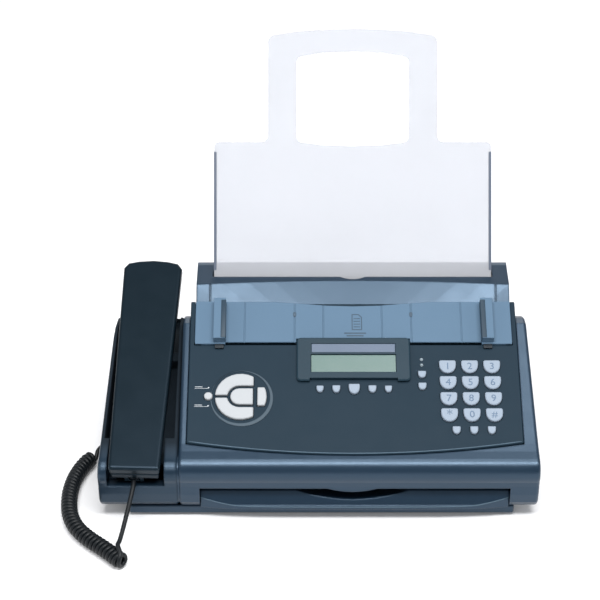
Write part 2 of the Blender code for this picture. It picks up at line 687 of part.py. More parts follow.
def guides():
    """Two paper guides that slide on the ledge, joined by racks and a pinion below it."""
    low, high = RECESS_FLOOR + GAP, 0.0003
    base = 0.0029
    for name, side in (("left", -1), ("right", 1)):
        axis = empty(f"guide_{name}_frame", (side * GUIDE_INNER, 0, 0), parent=panel)
        front = LEDGE_FRONT - 0.0024
        flange_high = (side * FLANGE_WIDTH, PANEL_BACK - 0.0014, base + 0.0013)
        flange = block("flange", (0, front, base), flange_high)
        obj = place(f"document_guide_{name}", flange, axis, (0, -PANEL_BACK, -HINGE_UP), blue)
        blade_high = (side * BLADE_WIDTH, PANEL_BACK - 0.0022, BLADE_TOP)
        blade = block("blade", (0, front + 0.0014, base), blade_high)
        boolean(obj, blade, "UNION", obj.location)
        neck = block("neck", (0, front, low), (side * 0.020, front + 0.0020, base + 0.0002))
        boolean(obj, neck, "UNION", obj.location)
        arm_back = PINION_ALONG + side * (PINION_PITCH + 0.0030)
        arm = block("arm", (side * 0.002, front + 0.0018, low), (side * 0.008, arm_back, high))
        boolean(obj, arm, "UNION", obj.location)
        near = PINION_ALONG + side * (PINION_PITCH + 0.0009)
        rack = block("rack", (side * 0.003, near, low), (side * (-GUIDE_INNER - 0.0120), arm_back, high))
        boolean(obj, rack, "UNION", obj.location)
    teeth = 10
    outline = []
    for tooth in range(teeth):
        for reach, part in ((0.0033, 0.0), (0.0033, 0.45), (0.0045, 0.6), (0.0045, 0.85)):
            angle = 2 * math.pi * (tooth + part) / teeth
            outline.append((reach * math.cos(angle), reach * math.sin(angle)))
    pinion_axis = empty("guide_pinion_axis", (0, PINION_ALONG - PANEL_BACK, -HINGE_UP), parent=panel)
    place("guide_pinion", flat("pinion", [outline], low, high), pinion_axis, (0, 0, 0), nylon)


def keys():
    for name, x, along, outline in key_list():
        paint = white if name in ("copy_key", "start_key", "stop_key", "hands_free_key", "mode_key") else pale
        axis = empty(f"{name}_axis", (x - PANEL_X, along - PANEL_BACK, KEY_TOP - HINGE_UP), parent=panel)
        mesh = flat(name, [outline()], KEY_FOOT - KEY_TOP, 0)
        obj = place(name, mesh, axis, (0, 0, 0), paint)
        bevel(obj, 0.0006, 1, 60)
        smooth(obj)


# ---------------------------------------------------------------- paper support

def support_outlines():
    """The clear sheet's edge and the hole of its carrying loop."""
    shoulder, root = 0.004, 0.005
    edge = [(-SUPPORT_HALF, SUPPORT_FOOT), (SUPPORT_HALF, SUPPORT_FOOT)]
    edge += arc((SUPPORT_HALF - shoulder, SUPPORT_SHOULDER - shoulder), (shoulder, shoulder), 0, 90, 3)
    edge += arc((LOOP_HALF + root, SUPPORT_SHOULDER + root), (root, root), 270, 180, 3)
    edge += arc((LOOP_HALF - 0.006, SUPPORT_TOP - 0.006), (0.006, 0.006), 0, 80, 3)
    for i in range(1, 8):
        x = LOOP_HALF * (1 - i / 4) * 0.88
        edge.append((x, SUPPORT_TOP + SUPPORT_CROWN * (1 - (x / LOOP_HALF) ** 2)))
    edge += arc((-LOOP_HALF + 0.006, SUPPORT_TOP - 0.006), (0.006, 0.006), 100, 180, 3)
    edge += arc((-LOOP_HALF - root, SUPPORT_SHOULDER + root), (root, root), 0, -90, 3)
    edge += arc((-SUPPORT_HALF + shoulder, SUPPORT_SHOULDER - shoulder), (shoulder, shoulder), 90, 180, 3)
    corner = 0.005
    hole = arc((-HOLE_HALF + corner, HOLE_BOTTOM + corner), (corner, corner), 180, 260, 3)
    hole += [(x, HOLE_BOTTOM - 0.003 * (1 - (x / HOLE_HALF) ** 2)) for x in (-0.025, 0.0, 0.025)]
    hole += arc((HOLE_HALF - corner, HOLE_BOTTOM + corner), (corner, corner), 280, 360, 3)
    hole += arc((HOLE_HALF - corner, HOLE_TOP - corner), (corner, corner), 0, 80, 3)
    hole += [(x, HOLE_TOP + 0.004 * (1 - (x / HOLE_HALF) ** 2)) for x in (0.025, 0.0, -0.025)]
    hole += arc((-HOLE_HALF + corner, HOLE_TOP - corner), (corner, corner), 100, 180, 3)
    return [edge, hole]


def paper_support():
    mouth = (SUPPORT_X, SUPPORT_Y, SUPPORT_Z)
    frame = empty("support_frame", mouth, (math.pi / 2 - SUPPORT_LEAN, 0, 0), machine)
    sheet = flat("sheet", support_outlines(), -SUPPORT_THICK, 0)
    obj = place("paper_support", sheet, frame, (0, 0, 0), clear)
    for side in (-1, 1):
        low = (side * SUPPORT_HALF - side * 0.0016, SUPPORT_FOOT + 0.002, -0.0050)
        high = (side * SUPPORT_HALF - side * 0.0001, SUPPORT_SHOULDER - 0.008, -SUPPORT_THICK / 2)
        rib = block(f"rib_{side}", low, high)
        boolean(obj, rib, "UNION")
    smooth(obj)


# ---------------------------------------------------------------- handset and cradle

def handset_side(along, up):
    """A point of the handset's own frame, in side view."""
    cos, sin = math.cos(HANDSET_SLOPE), math.sin(HANDSET_SLOPE)
    return HANDSET_Y + along * cos - up * sin, HANDSET_Z + along * sin + up * cos


def cradle():
    right = SEAM_X
    outside = [(0.0076, CASE_BOTTOM), (0.0026, 0.0110), (0.0016, 0.0200), (0.0016, 0.0270)]
    outside += arc((0.0130, 0.0360), (0.0130, 0.0120), 204, 100, 7)
    outside += [handset_side(0.030, -0.0075), handset_side(0.130, -0.0075)]
    outside += [handset_side(0.142, -0.0105), (0.1520, 0.0900), (0.1680, 0.0790)]
    outside += [(CRADLE_BACK - 0.001, 0.0740), (CRADLE_BACK, 0.0700), (CRADLE_BACK, CASE_BOTTOM)]
    mesh = side_profile("outside", outside, LEFT, right)
    obj = place("handset_cradle", narrowed(mesh, LEFT_TAPER, -0.14), machine, (0, 0, 0), slate)
    bevel(obj, 0.0024, 2, 50)
    floor = -0.0285
    low = handset_side(0.0180, floor)[1]
    front = [(-0.01, 0.0275), (0.0100, 0.0275), handset_side(0.004, floor), handset_side(0.024, floor)]
    front += [(0.0320, 0.10), (-0.01, 0.10)]
    behind = [(0.0300, 0.10), (0.0300, low), handset_side(0.110, floor), handset_side(0.112, -0.0195)]
    behind += [handset_side(0.120, -0.0195), (0.1285, 0.0700), (0.1735, 0.0700), (0.1735, 0.16)]
    inside_floor = CASE_BOTTOM + WALL
    inside = [(0.0076, inside_floor), (0.0046, 0.0240), (0.0110, 0.0240), handset_side(0.008, floor - 0.003)]
    inside += [handset_side(0.108, floor - 0.003), (0.1300, 0.0670), (0.1735, 0.0670), (0.1735, inside_floor)]
    for name, outline, left_wall, right_wall in (("front_channel", front, 0.0072, 0.0108),
                                                 ("channel", behind, 0.0030, 0.0035),
                                                 ("inside", inside, WALL, WALL)):
        cut = side_profile(name, outline, LEFT + left_wall, right - right_wall)
        boolean(obj, narrowed(cut, LEFT_TAPER, -0.14))
    boolean(obj, block("base_opening", (BASE_LEFT + WALL, 0.0100, -0.01), (right - WALL, 0.1430, 0.0300)))
    jack_low = (LEFT + 0.0010, JACK_Y - 0.0185, CASE_BOTTOM + 0.0015)
    jack = block("jack_block", jack_low, (JACK_X + 0.0020, JACK_Y + 0.0150, 0.0242))
    boolean(obj, narrowed(jack, LEFT_TAPER), "UNION")
    recess_low = (LEFT - 0.01, JACK_Y - 0.0165, CASE_BOTTOM + 0.0025)
    boolean(obj, block("jack_recess", recess_low, (JACK_X + 0.0040, JACK_Y, 0.0220)))
    socket_low = (JACK_X - 0.0037, JACK_Y - 0.001, JACK_Z - 0.0033)
    boolean(obj, block("jack", socket_low, (JACK_X + 0.0037, JACK_Y + 0.0105, JACK_Z + 0.0033)))
    plunger = block("hook_hole", (HANDSET_X - 0.0044, 0.0356, 0.02), (HANDSET_X + 0.0044, 0.0444, 0.05))
    boolean(obj, plunger)
    smooth(obj)


def hook_switch():
    low = handset_side(0.028, -0.0400)[1]
    axis = empty("hook_switch_axis", (HANDSET_X, 0.040, low), parent=machine)
    mesh = block("plunger", (-0.004, -0.004, 0), (0.004, 0.004, 0.0146))
    obj = place("hook_switch", mesh, axis, (0, 0, 0), nylon)
    bevel(obj, 0.0008, 1)


def handset_plan(inset):
    """The handset from above: it widens towards its back end, which is crowned."""
    narrow, wide = HANDSET_FRONT_HALF - inset, HANDSET_BACK_HALF - inset
    front, back = HANDSET_START + inset, HANDSET_END - inset
    points = [(-narrow, front), (narrow, front), (wide, back - 0.004)]
    points += [(wide * x, back + 0.0045 * (1 - x * x)) for x in (0.85, 0.5, 0.0, -0.5, -0.85)]
    return points + [(-wide, back - 0.004)]


def handset():
    """Two half shells; the lower one carries the mouthpiece and earpiece pods and the cord's jack."""
    start = (HANDSET_X, HANDSET_Y, HANDSET_Z)
    frame = empty("handset_frame", start, (HANDSET_SLOPE, 0, HANDSET_YAW), machine)
    upper = place("handset_upper", flat("upper", [handset_plan(0)], -0.009, 0), frame, (0, 0, 0), black)
    bevel(upper, 0.0024, 3, 50)
    smooth(upper)
    grip = flat("grip", [handset_plan(0.0010)], -0.0165, -0.009 - GAP)
    lower = place("handset_lower", grip, frame, (0, 0, 0), black)
    bevel(lower, 0.0016, 2, 50)
    for name, front, back, half in (("mouthpiece", 0.014, 0.050, 0.0175), ("earpiece", 0.150, 0.190, 0.0200)):
        plan = moved(rectangle(2 * half, back - front, 0.010, 3), 0, (front + back) / 2)
        boolean(lower, flat(name, [plan], -0.0240, -0.0130), "UNION")
    front = HANDSET_START + 0.0014
    boolean(lower, block("jack_boss", (-0.0085, front, -0.0205), (0.0069, 0.0200, -0.0120)), "UNION")
    boolean(lower, block("jack", (-0.0052, -0.02, -0.0193), (0.0036, 0.0070, -0.0143)))
    smooth(lower)
    plug = block("plug", (-0.0046, front + 0.0004, -0.0190), (0.0030, 0.0066, -0.0146))
    obj = place("handset_plug", plug, frame, (0, 0, 0), resin)
    bevel(obj, 0.0006, 1)


# ---------------------------------------------------------------- cord

def through(route, steps):
    """A smooth curve through the route's points: a Catmull-Rom spline, sampled evenly in each span."""
    points = [Vector(p) for p in route]
    ends = [2 * points[0] - points[1]] + points + [2 * points[-1] - points[-2]]
    found = []
    for i in range(len(points) - 1):
        a, b, c, d = ends[i:i + 4]
        for step in range(steps):
            t = step / steps
            found.append(0.5 * (2 * b + (c - a) * t + (2 * a - 5 * b + 4 * c - d) * t * t
                                + (3 * b - a - 3 * c + d) * t ** 3))
    return found + [points[-1]]


def tube(name, route, radius, steps, resolution, paint):
    curve = bpy.data.curves.new(name, "CURVE")
    curve.dimensions = "3D"
    curve.bevel_depth = radius
    curve.bevel_resolution = resolution
    curve.use_fill_caps = True
    points = through(route, steps)
    spline = curve.splines.new("POLY")
    spline.points.add(len(points) - 1)
    for point, place_at in zip(spline.points, points):
        point.co = (*place_at, 1)
    made = bpy.data.objects.new(name, curve)
    made.parent = machine
    curve.materials.append(paint)
    parts.objects.link(made)


LEAD_ROUTE = [
    (-0.1447, 0.0022, 0.0329), (-0.1451, -0.0030, 0.0303), (-0.1467, -0.0120, 0.0255),
    (-0.1490, -0.0240, 0.0198), (-0.1513, -0.0360, 0.0144), (-0.1532, -0.0450, 0.0109),
    (-0.1544, -0.0505, 0.0098),
]
COIL_ROUTE = [
    (-0.1501, -0.0594, COIL_Z), (-0.1586, -0.0504, COIL_Z), (-0.1667, -0.0424, COIL_Z),
    (-0.1758, -0.0339, COIL_Z), (-0.1843, -0.0249, COIL_Z), (-0.1914, -0.0144, COIL_Z),
    (-0.1964, -0.0014, COIL_Z), (-0.1989, 0.0136, COIL_Z), (-0.1994, 0.0296, COIL_Z),
    (-0.1979, 0.0446, COIL_Z), (-0.1944, 0.0581, COIL_Z), (-0.1899, 0.0686, COIL_Z),
    (-0.1853, 0.0766, COIL_Z),
]
TAIL_ROUTE = [
    (-0.1846, 0.0779, COIL_Z), (-0.1826, 0.0803, 0.0032), (-0.1779, 0.0823, 0.0076),
    (-0.1724, 0.0834, 0.0112), (-0.1685, 0.0851, 0.0132), (-0.1660, 0.0882, 0.0139),
    (-0.1650, 0.0919, 0.0140),
]


def cord():
    tube("cord_lead", LEAD_ROUTE, CORD_RADIUS, 3, 2, cable)
    tube("cord_coil", COIL_ROUTE, COIL_RADIUS, 3, 2, cable)
    tube("cord_tail", TAIL_ROUTE, CORD_RADIUS, 3, 2, cable)
    half_width, half_height = 0.0034, 0.0030
    low = (JACK_X - half_width, JACK_Y - 0.0005, JACK_Z - half_height)
    high = (JACK_X + half_width, JACK_Y + 0.0100, JACK_Z + half_height)
    obj = place("base_plug", block("base_plug", low, high), machine, (0, 0, 0), resin)
    bevel(obj, 0.0006, 1)


clear_scene()
parts = collection_named("fax_machine")
cutters = collection_named("cutters")

slate = material("slate_plastic", (0.045, 0.070, 0.095), 0.42)
blue = material("blue_plastic", (0.20, 0.31, 0.43), 0.45)
grey = material("bezel_plastic", (0.09, 0.14, 0.19), 0.40)
pale = material("pale_keys", (0.55, 0.65, 0.80), 0.45)
white = material("white_keys", (0.88, 0.89, 0.92), 0.42)
black = material("handset_plastic", (0.015, 0.022, 0.028), 0.38)
clear = material("clear_plastic", (0.90, 0.91, 0.95), 0.12, transmission=0.9)
glass = material("display", (0.25, 0.38, 0.32), 0.15)
rubber = material("rubber", (0.02, 0.02, 0.02), 0.8)
nylon = material("nylon", (0.75, 0.74, 0.70), 0.5)
steel = material("steel", (0.55, 0.56, 0.58), 0.35, metallic=1.0)
film = material("film", (0.03, 0.03, 0.035), 0.3)
circuit = material("circuit_board", (0.03, 0.16, 0.08), 0.5)
resin = material("plug_resin", (0.75, 0.78, 0.80), 0.15, transmission=0.6)
cable = material("cord_jacket", (0.008, 0.009, 0.010), 0.45)

machine = empty("machine", (-(LEFT + RIGHT) / 2, -DEPTH / 2, -TABLE_Z))
hinge_y, hinge_z = panel_side_point(PANEL_BACK, HINGE_UP)
panel = empty("panel_hinge", (PANEL_X, hinge_y, hinge_z), (PANEL_SLOPE, 0, 0), machine)

main_housing()
rear_housing()
bottom_housing()
exit_tray()
feet()
platen_roller()
drive()
film_rolls()
document_roller()
boards()
control_panel()
display()
document_ledge()
guides()
keys()
paper_support()
cradle()
hook_switch()
handset()
cord()
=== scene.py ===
"""The looks of the fax machine: cord, clear parts, key legends, panel details and materials, built round
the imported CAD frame. Metres, +Z up, in the frame's own axes."""

import math

import bmesh
import bpy
from mathutils import Matrix, Vector


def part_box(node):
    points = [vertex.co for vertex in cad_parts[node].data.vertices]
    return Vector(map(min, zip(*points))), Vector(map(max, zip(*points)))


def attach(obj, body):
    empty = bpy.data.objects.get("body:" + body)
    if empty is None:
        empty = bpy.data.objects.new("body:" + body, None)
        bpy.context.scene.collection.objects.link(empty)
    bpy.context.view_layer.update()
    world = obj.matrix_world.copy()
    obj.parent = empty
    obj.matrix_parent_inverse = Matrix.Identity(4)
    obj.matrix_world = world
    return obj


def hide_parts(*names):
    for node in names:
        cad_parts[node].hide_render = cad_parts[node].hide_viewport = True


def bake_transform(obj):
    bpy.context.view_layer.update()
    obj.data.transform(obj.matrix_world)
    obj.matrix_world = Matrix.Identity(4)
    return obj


# The CAD model's own zero in the frame, and its control panel's plane
MACHINE = Vector((-0.00125, -0.1380145, 0.0060))
PANEL_ZERO = Vector((0.030, 0.024, 0.0555)) + MACHINE
PANEL_SLOPE = math.radians(27)
PANEL_HALF = 0.1335
PANEL_FRONT = -0.013
PANEL_BOW = 0.0105

# Heights above the panel's plane
PANEL_TOP = 0.0020
LEDGE_TOP = 0.0026
KEY_TOP = 0.0043
BEZEL_TOP = 0.0055
BLADE_TOP = 0.0115

# Places across and along the panel
LCD_X = -0.0003
LCD_WIDTH = 0.0684
STRIP_ALONG = 0.0818
STRIP_LENGTH = 0.0084
LAMP_X = 0.0549
LAMP_ALONG = (0.0728, 0.0677)
MODE_X = -0.1228
MODE_ALONG = (0.0463, 0.0298)
ROSE_X = -0.0912
ROSE_ALONG = 0.0382
LEDGE_FRONT = 0.0888
GUIDE_X = 0.1045

# Joint beside the cradle, and the exit flap
SEAM_X = -0.110
FLAP_MIDDLE = 0.0299
FLAP_HALF = 0.1226
FLAP_LIP = 0.0080

# Paper support, handset and back wall
SUPPORT_MOUTH = Vector((0.0304, 0.165, 0.1235)) + MACHINE
SUPPORT_LEAN = math.radians(32)
SUPPORT_HALF = 0.1158
HANDSET_PLACE = Vector((-0.1439, 0.0005, 0.0505)) + MACHINE
HANDSET_SLOPE = math.radians(21.3)
HANDSET_YAW = math.radians(-1.95)
POD_FACE = -0.0240
REAR_WALL_Y = 0.188
SOCKET_Z = 0.032
MAINS_X = 0.1250
LINE_SOCKETS = (-0.0650, -0.0450)
BASE_BOTTOM = -0.0035
SCREWS = ((-0.120, 0.030), (0.125, 0.030), (-0.060, 0.100), (0.125, 0.100), (-0.060, 0.165),
          (0.110, 0.165))

# Camera, light and floor
CAMERA_PLACE = (-0.01485, -1.3315, 0.9541)
CAMERA_TILT = math.radians(58)
CAMERA_LENS = 114
SKY_COLOUR = (0.95, 0.97, 1.0)
SKY_STRENGTH = 0.36
FLOOR_HALF = 4.0
FLOOR_GLOW = 0.10
# Each light's place, target, size in metres and power in watts
LIGHTS = {
    "key_light": ((0.10, -0.78, 1.60), (0, 0, 0.08), (1.4, 0.36), 30),
    "top_light": ((0.05, -0.12, 1.75), (0, 0, 0.05), (1.4, 0.35), 10),
    "left_light": ((-1.5, -0.4, 0.8), (0, 0, 0.1), (0.7, 1.0), 5),
    "right_light": ((1.5, -0.2, 0.8), (0, 0, 0.1), (0.7, 1.0), 4),
    "back_light": ((0.0, 1.5, 0.9), (0, 0, 0.1), (1.4, 0.5), 5),
}

# Surfaces: the scales of their noises, in cycles per metre, and how deep their relief is
TONE_SCALE = 9
GLOSS_SCALE = 60
WEAR_SCALE = 140
GRAIN_DEPTH = 0.00006
FLOW_SCALE = 14
RIPPLE_SCALE = 35
RIPPLE_DEPTH = 0.0001
SCRATCH_SCALE = 220
STEEL_BLUE = (0.55, 0.76, 1.0)
# The cradle's well, darkened with painted shade: where the painted shade begins behind its front, and how
# far its outer skin stays slate
WELL_FRONT = (-0.128, -0.112)
WELL_SKIN = (0.0010, 0.0026)
WELL_SHADE_COLOUR = (0.0015, 0.0025, 0.0035)
WELL_MATT = 0.45

# Cord. The routes are in the CAD model's own axes
WIRE_RADIUS = 0.0018
WIRE_SIDES = 12
COIL_RADIUS = 0.0050
COIL_PITCH = 0.0040
COIL_Z = 0.0011
TURN_POINTS = 14
LAST_TURN = 0.75
ROUTE_STEPS = 24
LEAD_STEPS = 6
TAIL_STEPS = 5
EASE_REACH = 9
EASE_ROUNDS = 12
LEAD_ROUTE = [
    (-0.1447, 0.0022, 0.0329), (-0.1451, -0.0030, 0.0303), (-0.1467, -0.0120, 0.0255),
    (-0.1490, -0.0240, 0.0198), (-0.1513, -0.0360, 0.0144), (-0.1532, -0.0450, 0.0109),
    (-0.1544, -0.0505, 0.0098),
]
COIL_ROUTE = [
    (-0.1501, -0.0594), (-0.1586, -0.0504), (-0.1667, -0.0424), (-0.1758, -0.0339),
    (-0.1843, -0.0249), (-0.1914, -0.0144), (-0.1964, -0.0014), (-0.1989, 0.0136),
    (-0.1994, 0.0296), (-0.1979, 0.0446), (-0.1944, 0.0581), (-0.1899, 0.0686),
    (-0.1853, 0.0766),
]
TAIL_ROUTE = [
    (-0.1826, 0.0803, 0.0032), (-0.1779, 0.0823, 0.0076), (-0.1724, 0.0834, 0.0112),
    (-0.1685, 0.0851, 0.0132), (-0.1660, 0.0882, 0.0139), (-0.1650, 0.0919, 0.0140),
]

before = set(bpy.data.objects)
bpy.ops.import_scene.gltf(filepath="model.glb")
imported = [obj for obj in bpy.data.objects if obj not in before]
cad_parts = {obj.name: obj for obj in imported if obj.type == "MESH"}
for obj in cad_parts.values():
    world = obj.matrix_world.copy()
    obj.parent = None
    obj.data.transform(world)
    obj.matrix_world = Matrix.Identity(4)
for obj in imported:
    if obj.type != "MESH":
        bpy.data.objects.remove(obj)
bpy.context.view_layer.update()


# ---------------------------------------------------------------- camera, floor and light

def camera():
    data = bpy.data.cameras.new("camera")
    data.lens = CAMERA_LENS
    data.sensor_width = 36
    obj = bpy.data.objects.new("camera", data)
    obj.location = CAMERA_PLACE
    obj.rotation_euler = (CAMERA_TILT, 0, 0)
    bpy.context.scene.collection.objects.link(obj)
    bpy.context.scene.camera = obj
    bpy.context.scene.view_settings.view_transform = "Standard"


def area_light(name, place, target, size, power):
    data = bpy.data.lights.new(name, "AREA")
    data.shape = "RECTANGLE"
    data.size, data.size_y = size
    data.energy = power
    obj = bpy.data.objects.new(name, data)
    obj.location = place
    obj.rotation_euler = (Vector(target) - Vector(place)).to_track_quat("-Z", "Y").to_euler()
    bpy.context.scene.collection.objects.link(obj)


def studio():
    """Two soft boxes above the front and the middle, weaker ones at the sides and the back, and a dim
    even surround."""
    world = bpy.data.worlds.new("studio")
    world.use_nodes = True
    background = world.node_tree.nodes["Background"]
    background.inputs["Color"].default_value = (*SKY_COLOUR, 1)
    background.inputs["Strength"].default_value = SKY_STRENGTH
    bpy.context.scene.world = world
    for name, light in LIGHTS.items():
        area_light(name, *light)


# ---------------------------------------------------------------- materials

def link(tree, source, target):
    tree.links.new(source, target)


def node(tree, kind, **values):
    made = tree.nodes.new(kind)
    for key, value in values.items():
        if hasattr(made, key):
            setattr(made, key, value)
        else:
            made.inputs[key.replace("_", " ")].default_value = value
    return made


def place_in(tree):
    """The point's place in the frame's own metres."""
    made = tree.nodes.get("place") or node(tree, "ShaderNodeTexCoord", name="place")
    return made.outputs["Object"]


def noise(tree, scale, detail=3.0, roughness=0.5):
    """Noise in the frame's own metres, so that its grain is the same size on every piece."""
    made = node(tree, "ShaderNodeTexNoise", Scale=scale, Detail=detail, Roughness=roughness)
    link(tree, place_in(tree), made.inputs["Vector"])
    return made.outputs["Fac"]


def ramp(tree, source, low, high, low_at=0.35, high_at=0.65):
    made = tree.nodes.new("ShaderNodeMapRange")
    made.inputs["From Min"].default_value = low_at
    made.inputs["From Max"].default_value = high_at
    made.inputs["To Min"].default_value = low
    made.inputs["To Max"].default_value = high
    link(tree, source, made.inputs["Value"])
    return made.outputs["Result"]


def mix_colours(tree, factor, first, second):
    made = tree.nodes.new("ShaderNodeMix")
    made.data_type = "RGBA"
    for socket, colour in ((made.inputs["A"], first), (made.inputs["B"], second)):
        if hasattr(colour, "is_output"):
            link(tree, colour, socket)
        else:
            socket.default_value = (*colour, 1)
    link(tree, factor, made.inputs["Factor"])
    return made.outputs["Result"]


def combined(tree, operation, first, second):
    made = node(tree, "ShaderNodeMath", operation=operation)
    link(tree, first, made.inputs[0])
    link(tree, second, made.inputs[1])
    return made.outputs["Value"]


def rounded(tree, radius):
    """The normal with its edges rounded off."""
    made = tree.nodes.new("ShaderNodeBevel")
    made.samples = 4
    made.inputs["Radius"].default_value = radius
    return made.outputs["Normal"]


def worn_edges(tree, normal):
    """Where edges are painted paler, partly as wear and partly as a painted highlight: 1 where a surface
    bends sharply, 0 on the flat.
    """
    flat = tree.nodes.new("ShaderNodeNewGeometry")
    dot = tree.nodes.new("ShaderNodeVectorMath")
    dot.operation = "DOT_PRODUCT"
    link(tree, normal, dot.inputs[0])
    link(tree, flat.outputs["Normal"], dot.inputs[1])
    return ramp(tree, dot.outputs["Value"], 1.0, 0.0, 0.80, 0.995)


def in_the_well(tree):
    """Where the cradle's painted shade goes: 1 inside the handset cradle's well, 0 on its front and on its
    outer left and back faces.
    """
    split = tree.nodes.new("ShaderNodeSeparateXYZ")
    link(tree, place_in(tree), split.inputs["Vector"])
    across, back = split.outputs["X"], split.outputs["Y"]
    low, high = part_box("handset_cradle")
    near, far = WELL_SKIN
    found = ramp(tree, back, 0.0, 1.0, *WELL_FRONT)
    found = combined(tree, "MULTIPLY", found, ramp(tree, across, 0.0, 1.0, low[0] + near, low[0] + far))
    return combined(tree, "MULTIPLY", found, ramp(tree, back, 1.0, 0.0, high[1] - far, high[1] - near))


def plastic(name, colour, roughness, grain=2600, bump=0.25, tone=0.10, edge=0.0, metallic=0.0,
            coat=0.0, specular=0.5, tint=(1, 1, 1), radius=0.0006, well_shade=False):
    """Moulded plastic: fine grain, slow changes of tone, uneven gloss, paler edges that are partly wear and
    partly a painted highlight, and painted shade in the cradle's well where asked.
    """
    made = bpy.data.materials.new(name)
    made.use_nodes = True
    tree = made.node_tree
    shader = tree.nodes["Principled BSDF"]
    shader.inputs["Metallic"].default_value = metallic
    shader.inputs["Coat Weight"].default_value = coat
    shader.inputs["Coat Roughness"].default_value = 0.25
    shader.inputs["Specular IOR Level"].default_value = specular
    shader.inputs["Specular Tint"].default_value = (*tint, 1)
    dark = tuple(c * (1 - tone) for c in colour)
    light = tuple(min(1.0, c * (1 + tone)) for c in colour)
    shade = mix_colours(tree, noise(tree, TONE_SCALE, 4), dark, light)
    gloss = ramp(tree, noise(tree, GLOSS_SCALE, 5, 0.6), roughness - 0.02, roughness + 0.03)
    # Painted shade: inside the cradle's well the colour turns near black and the gloss turns more matt
    if well_shade:
        well_shade_mask = in_the_well(tree)
        shade = mix_colours(tree, well_shade_mask, shade, WELL_SHADE_COLOUR)
        light = mix_colours(tree, well_shade_mask, light, WELL_SHADE_COLOUR)
        gloss = combined(tree, "ADD", gloss, ramp(tree, well_shade_mask, 0.0, WELL_MATT, 0.0, 1.0))
    speck = ramp(tree, noise(tree, grain * 0.6, 2), 0.0, 0.16)
    shade = mix_colours(tree, speck, shade, light)
    normal = rounded(tree, radius)
    # Paler edges: partly wear, partly a painted highlight along the rounded edges
    if edge:
        pale = tuple(min(1.0, c * 1.5 + 0.02) for c in colour)
        wear_and_sheen = ramp(tree, noise(tree, WEAR_SCALE, 4), 0.1 * edge, edge)
        worn_and_sheen = combined(tree, "MULTIPLY", worn_edges(tree, normal), wear_and_sheen)
        shade = mix_colours(tree, worn_and_sheen, shade, pale)
    link(tree, shade, shader.inputs["Base Color"])
    link(tree, gloss, shader.inputs["Roughness"])
    relief = node(tree, "ShaderNodeBump", Strength=bump, Distance=GRAIN_DEPTH)
    link(tree, noise(tree, grain, 2, 0.6), relief.inputs["Height"])
    link(tree, normal, relief.inputs["Normal"])
    link(tree, relief.outputs["Normal"], shader.inputs["Normal"])
    return made


def clear_plastic(name, colour, roughness, transmission):
    """Clear moulded plastic with faint flow marks, dust and fine scratches."""
    made = bpy.data.materials.new(name)
    made.use_nodes = True
    tree = made.node_tree
    shader = tree.nodes["Principled BSDF"]
    shader.inputs["Transmission Weight"].default_value = transmission
    shader.inputs["IOR"].default_value = 1.45
    pale = tuple(min(1.0, c * 1.05) for c in colour)
    flow = mix_colours(tree, noise(tree, FLOW_SCALE, 4), colour, pale)
    link(tree, flow, shader.inputs["Base Color"])
    scratches = ramp(tree, noise(tree, SCRATCH_SCALE, 6, 0.7), roughness, roughness + 0.08)
    link(tree, scratches, shader.inputs["Roughness"])
    relief = node(tree, "ShaderNodeBump", Strength=0.05, Distance=RIPPLE_DEPTH)
    link(tree, noise(tree, RIPPLE_SCALE, 3), relief.inputs["Height"])
    link(tree, relief.outputs["Normal"], shader.inputs["Normal"])
    return made


def paint(names, material):
    for name in names:
        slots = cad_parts[name].data.materials
        slots.clear()
        slots.append(material)


# ---------------------------------------------------------------- pieces

def piece(name, mesh, body, material):
    obj = bpy.data.objects.new(name, mesh)
    bpy.context.scene.collection.objects.link(obj)
    mesh.materials.clear()
    mesh.materials.append(material)
    if body:
        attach(obj, body)
    return obj


def panel_matrix(x=0.0, along=0.0, up=0.0):
    """The control panel's own axes, moved along it."""
    turn = Matrix.Rotation(PANEL_SLOPE, 4, "X")
    return Matrix.Translation(PANEL_ZERO) @ turn @ Matrix.Translation((x, along, up))


def through(route, steps):
    """A smooth curve through the route's points: a Catmull-Rom spline."""
    points = [Vector(p) for p in route]
    ends = [2 * points[0] - points[1]] + points + [2 * points[-1] - points[-2]]
    found = []
    for i in range(len(points) - 1):
        a, b, c, d = ends[i:i + 4]
        for step in range(steps):
            t = step / steps
            found.append(0.5 * (2 * b + (c - a) * t + (2 * a - 5 * b + 4 * c - d) * t * t
                                + (3 * b - a - 3 * c + d) * t ** 3))
    return found + [points[-1]]


def evenly(points, spacing):
    """The same line, with a point every so far."""
    found = [points[0]]
    left = spacing
    for a, b in zip(points, points[1:]):
        length = (b - a).length
        while length >= left:
            a = a + (b - a) * (left / length)
            length = (b - a).length
            found.append(a)
            left = spacing
        left -= length
    return found


def tube(name, points, radius, sides=8):
    """A closed tube along a line, its rings carried from point to point without twist."""
    vertices, faces = [], []
    across = None
    for i, point in enumerate(points):
        along = (points[min(i + 1, len(points) - 1)] - points[max(i - 1, 0)]).normalized()
        if across is None:
            across = along.orthogonal().normalized()
        across = (across - along * across.dot(along)).normalized()
        other = along.cross(across)
        for side in range(sides):
            angle = 2 * math.pi * side / sides
            vertices.append(point + radius * (math.cos(angle) * across + math.sin(angle) * other))
    for ring in range(len(points) - 1):
        for side in range(sides):
            after = (side + 1) % sides
            low, high = ring * sides, (ring + 1) * sides
            faces.append((low + side, low + after, high + after, high + side))
    faces.append(tuple(range(sides - 1, -1, -1)))
    faces.append(tuple(range((len(points) - 1) * sides, len(points) * sides)))
    mesh = bpy.data.meshes.new(name)
    mesh.from_pydata(vertices, [], faces)
    mesh.shade_smooth()
    return mesh


# ---------------------------------------------------------------- cord

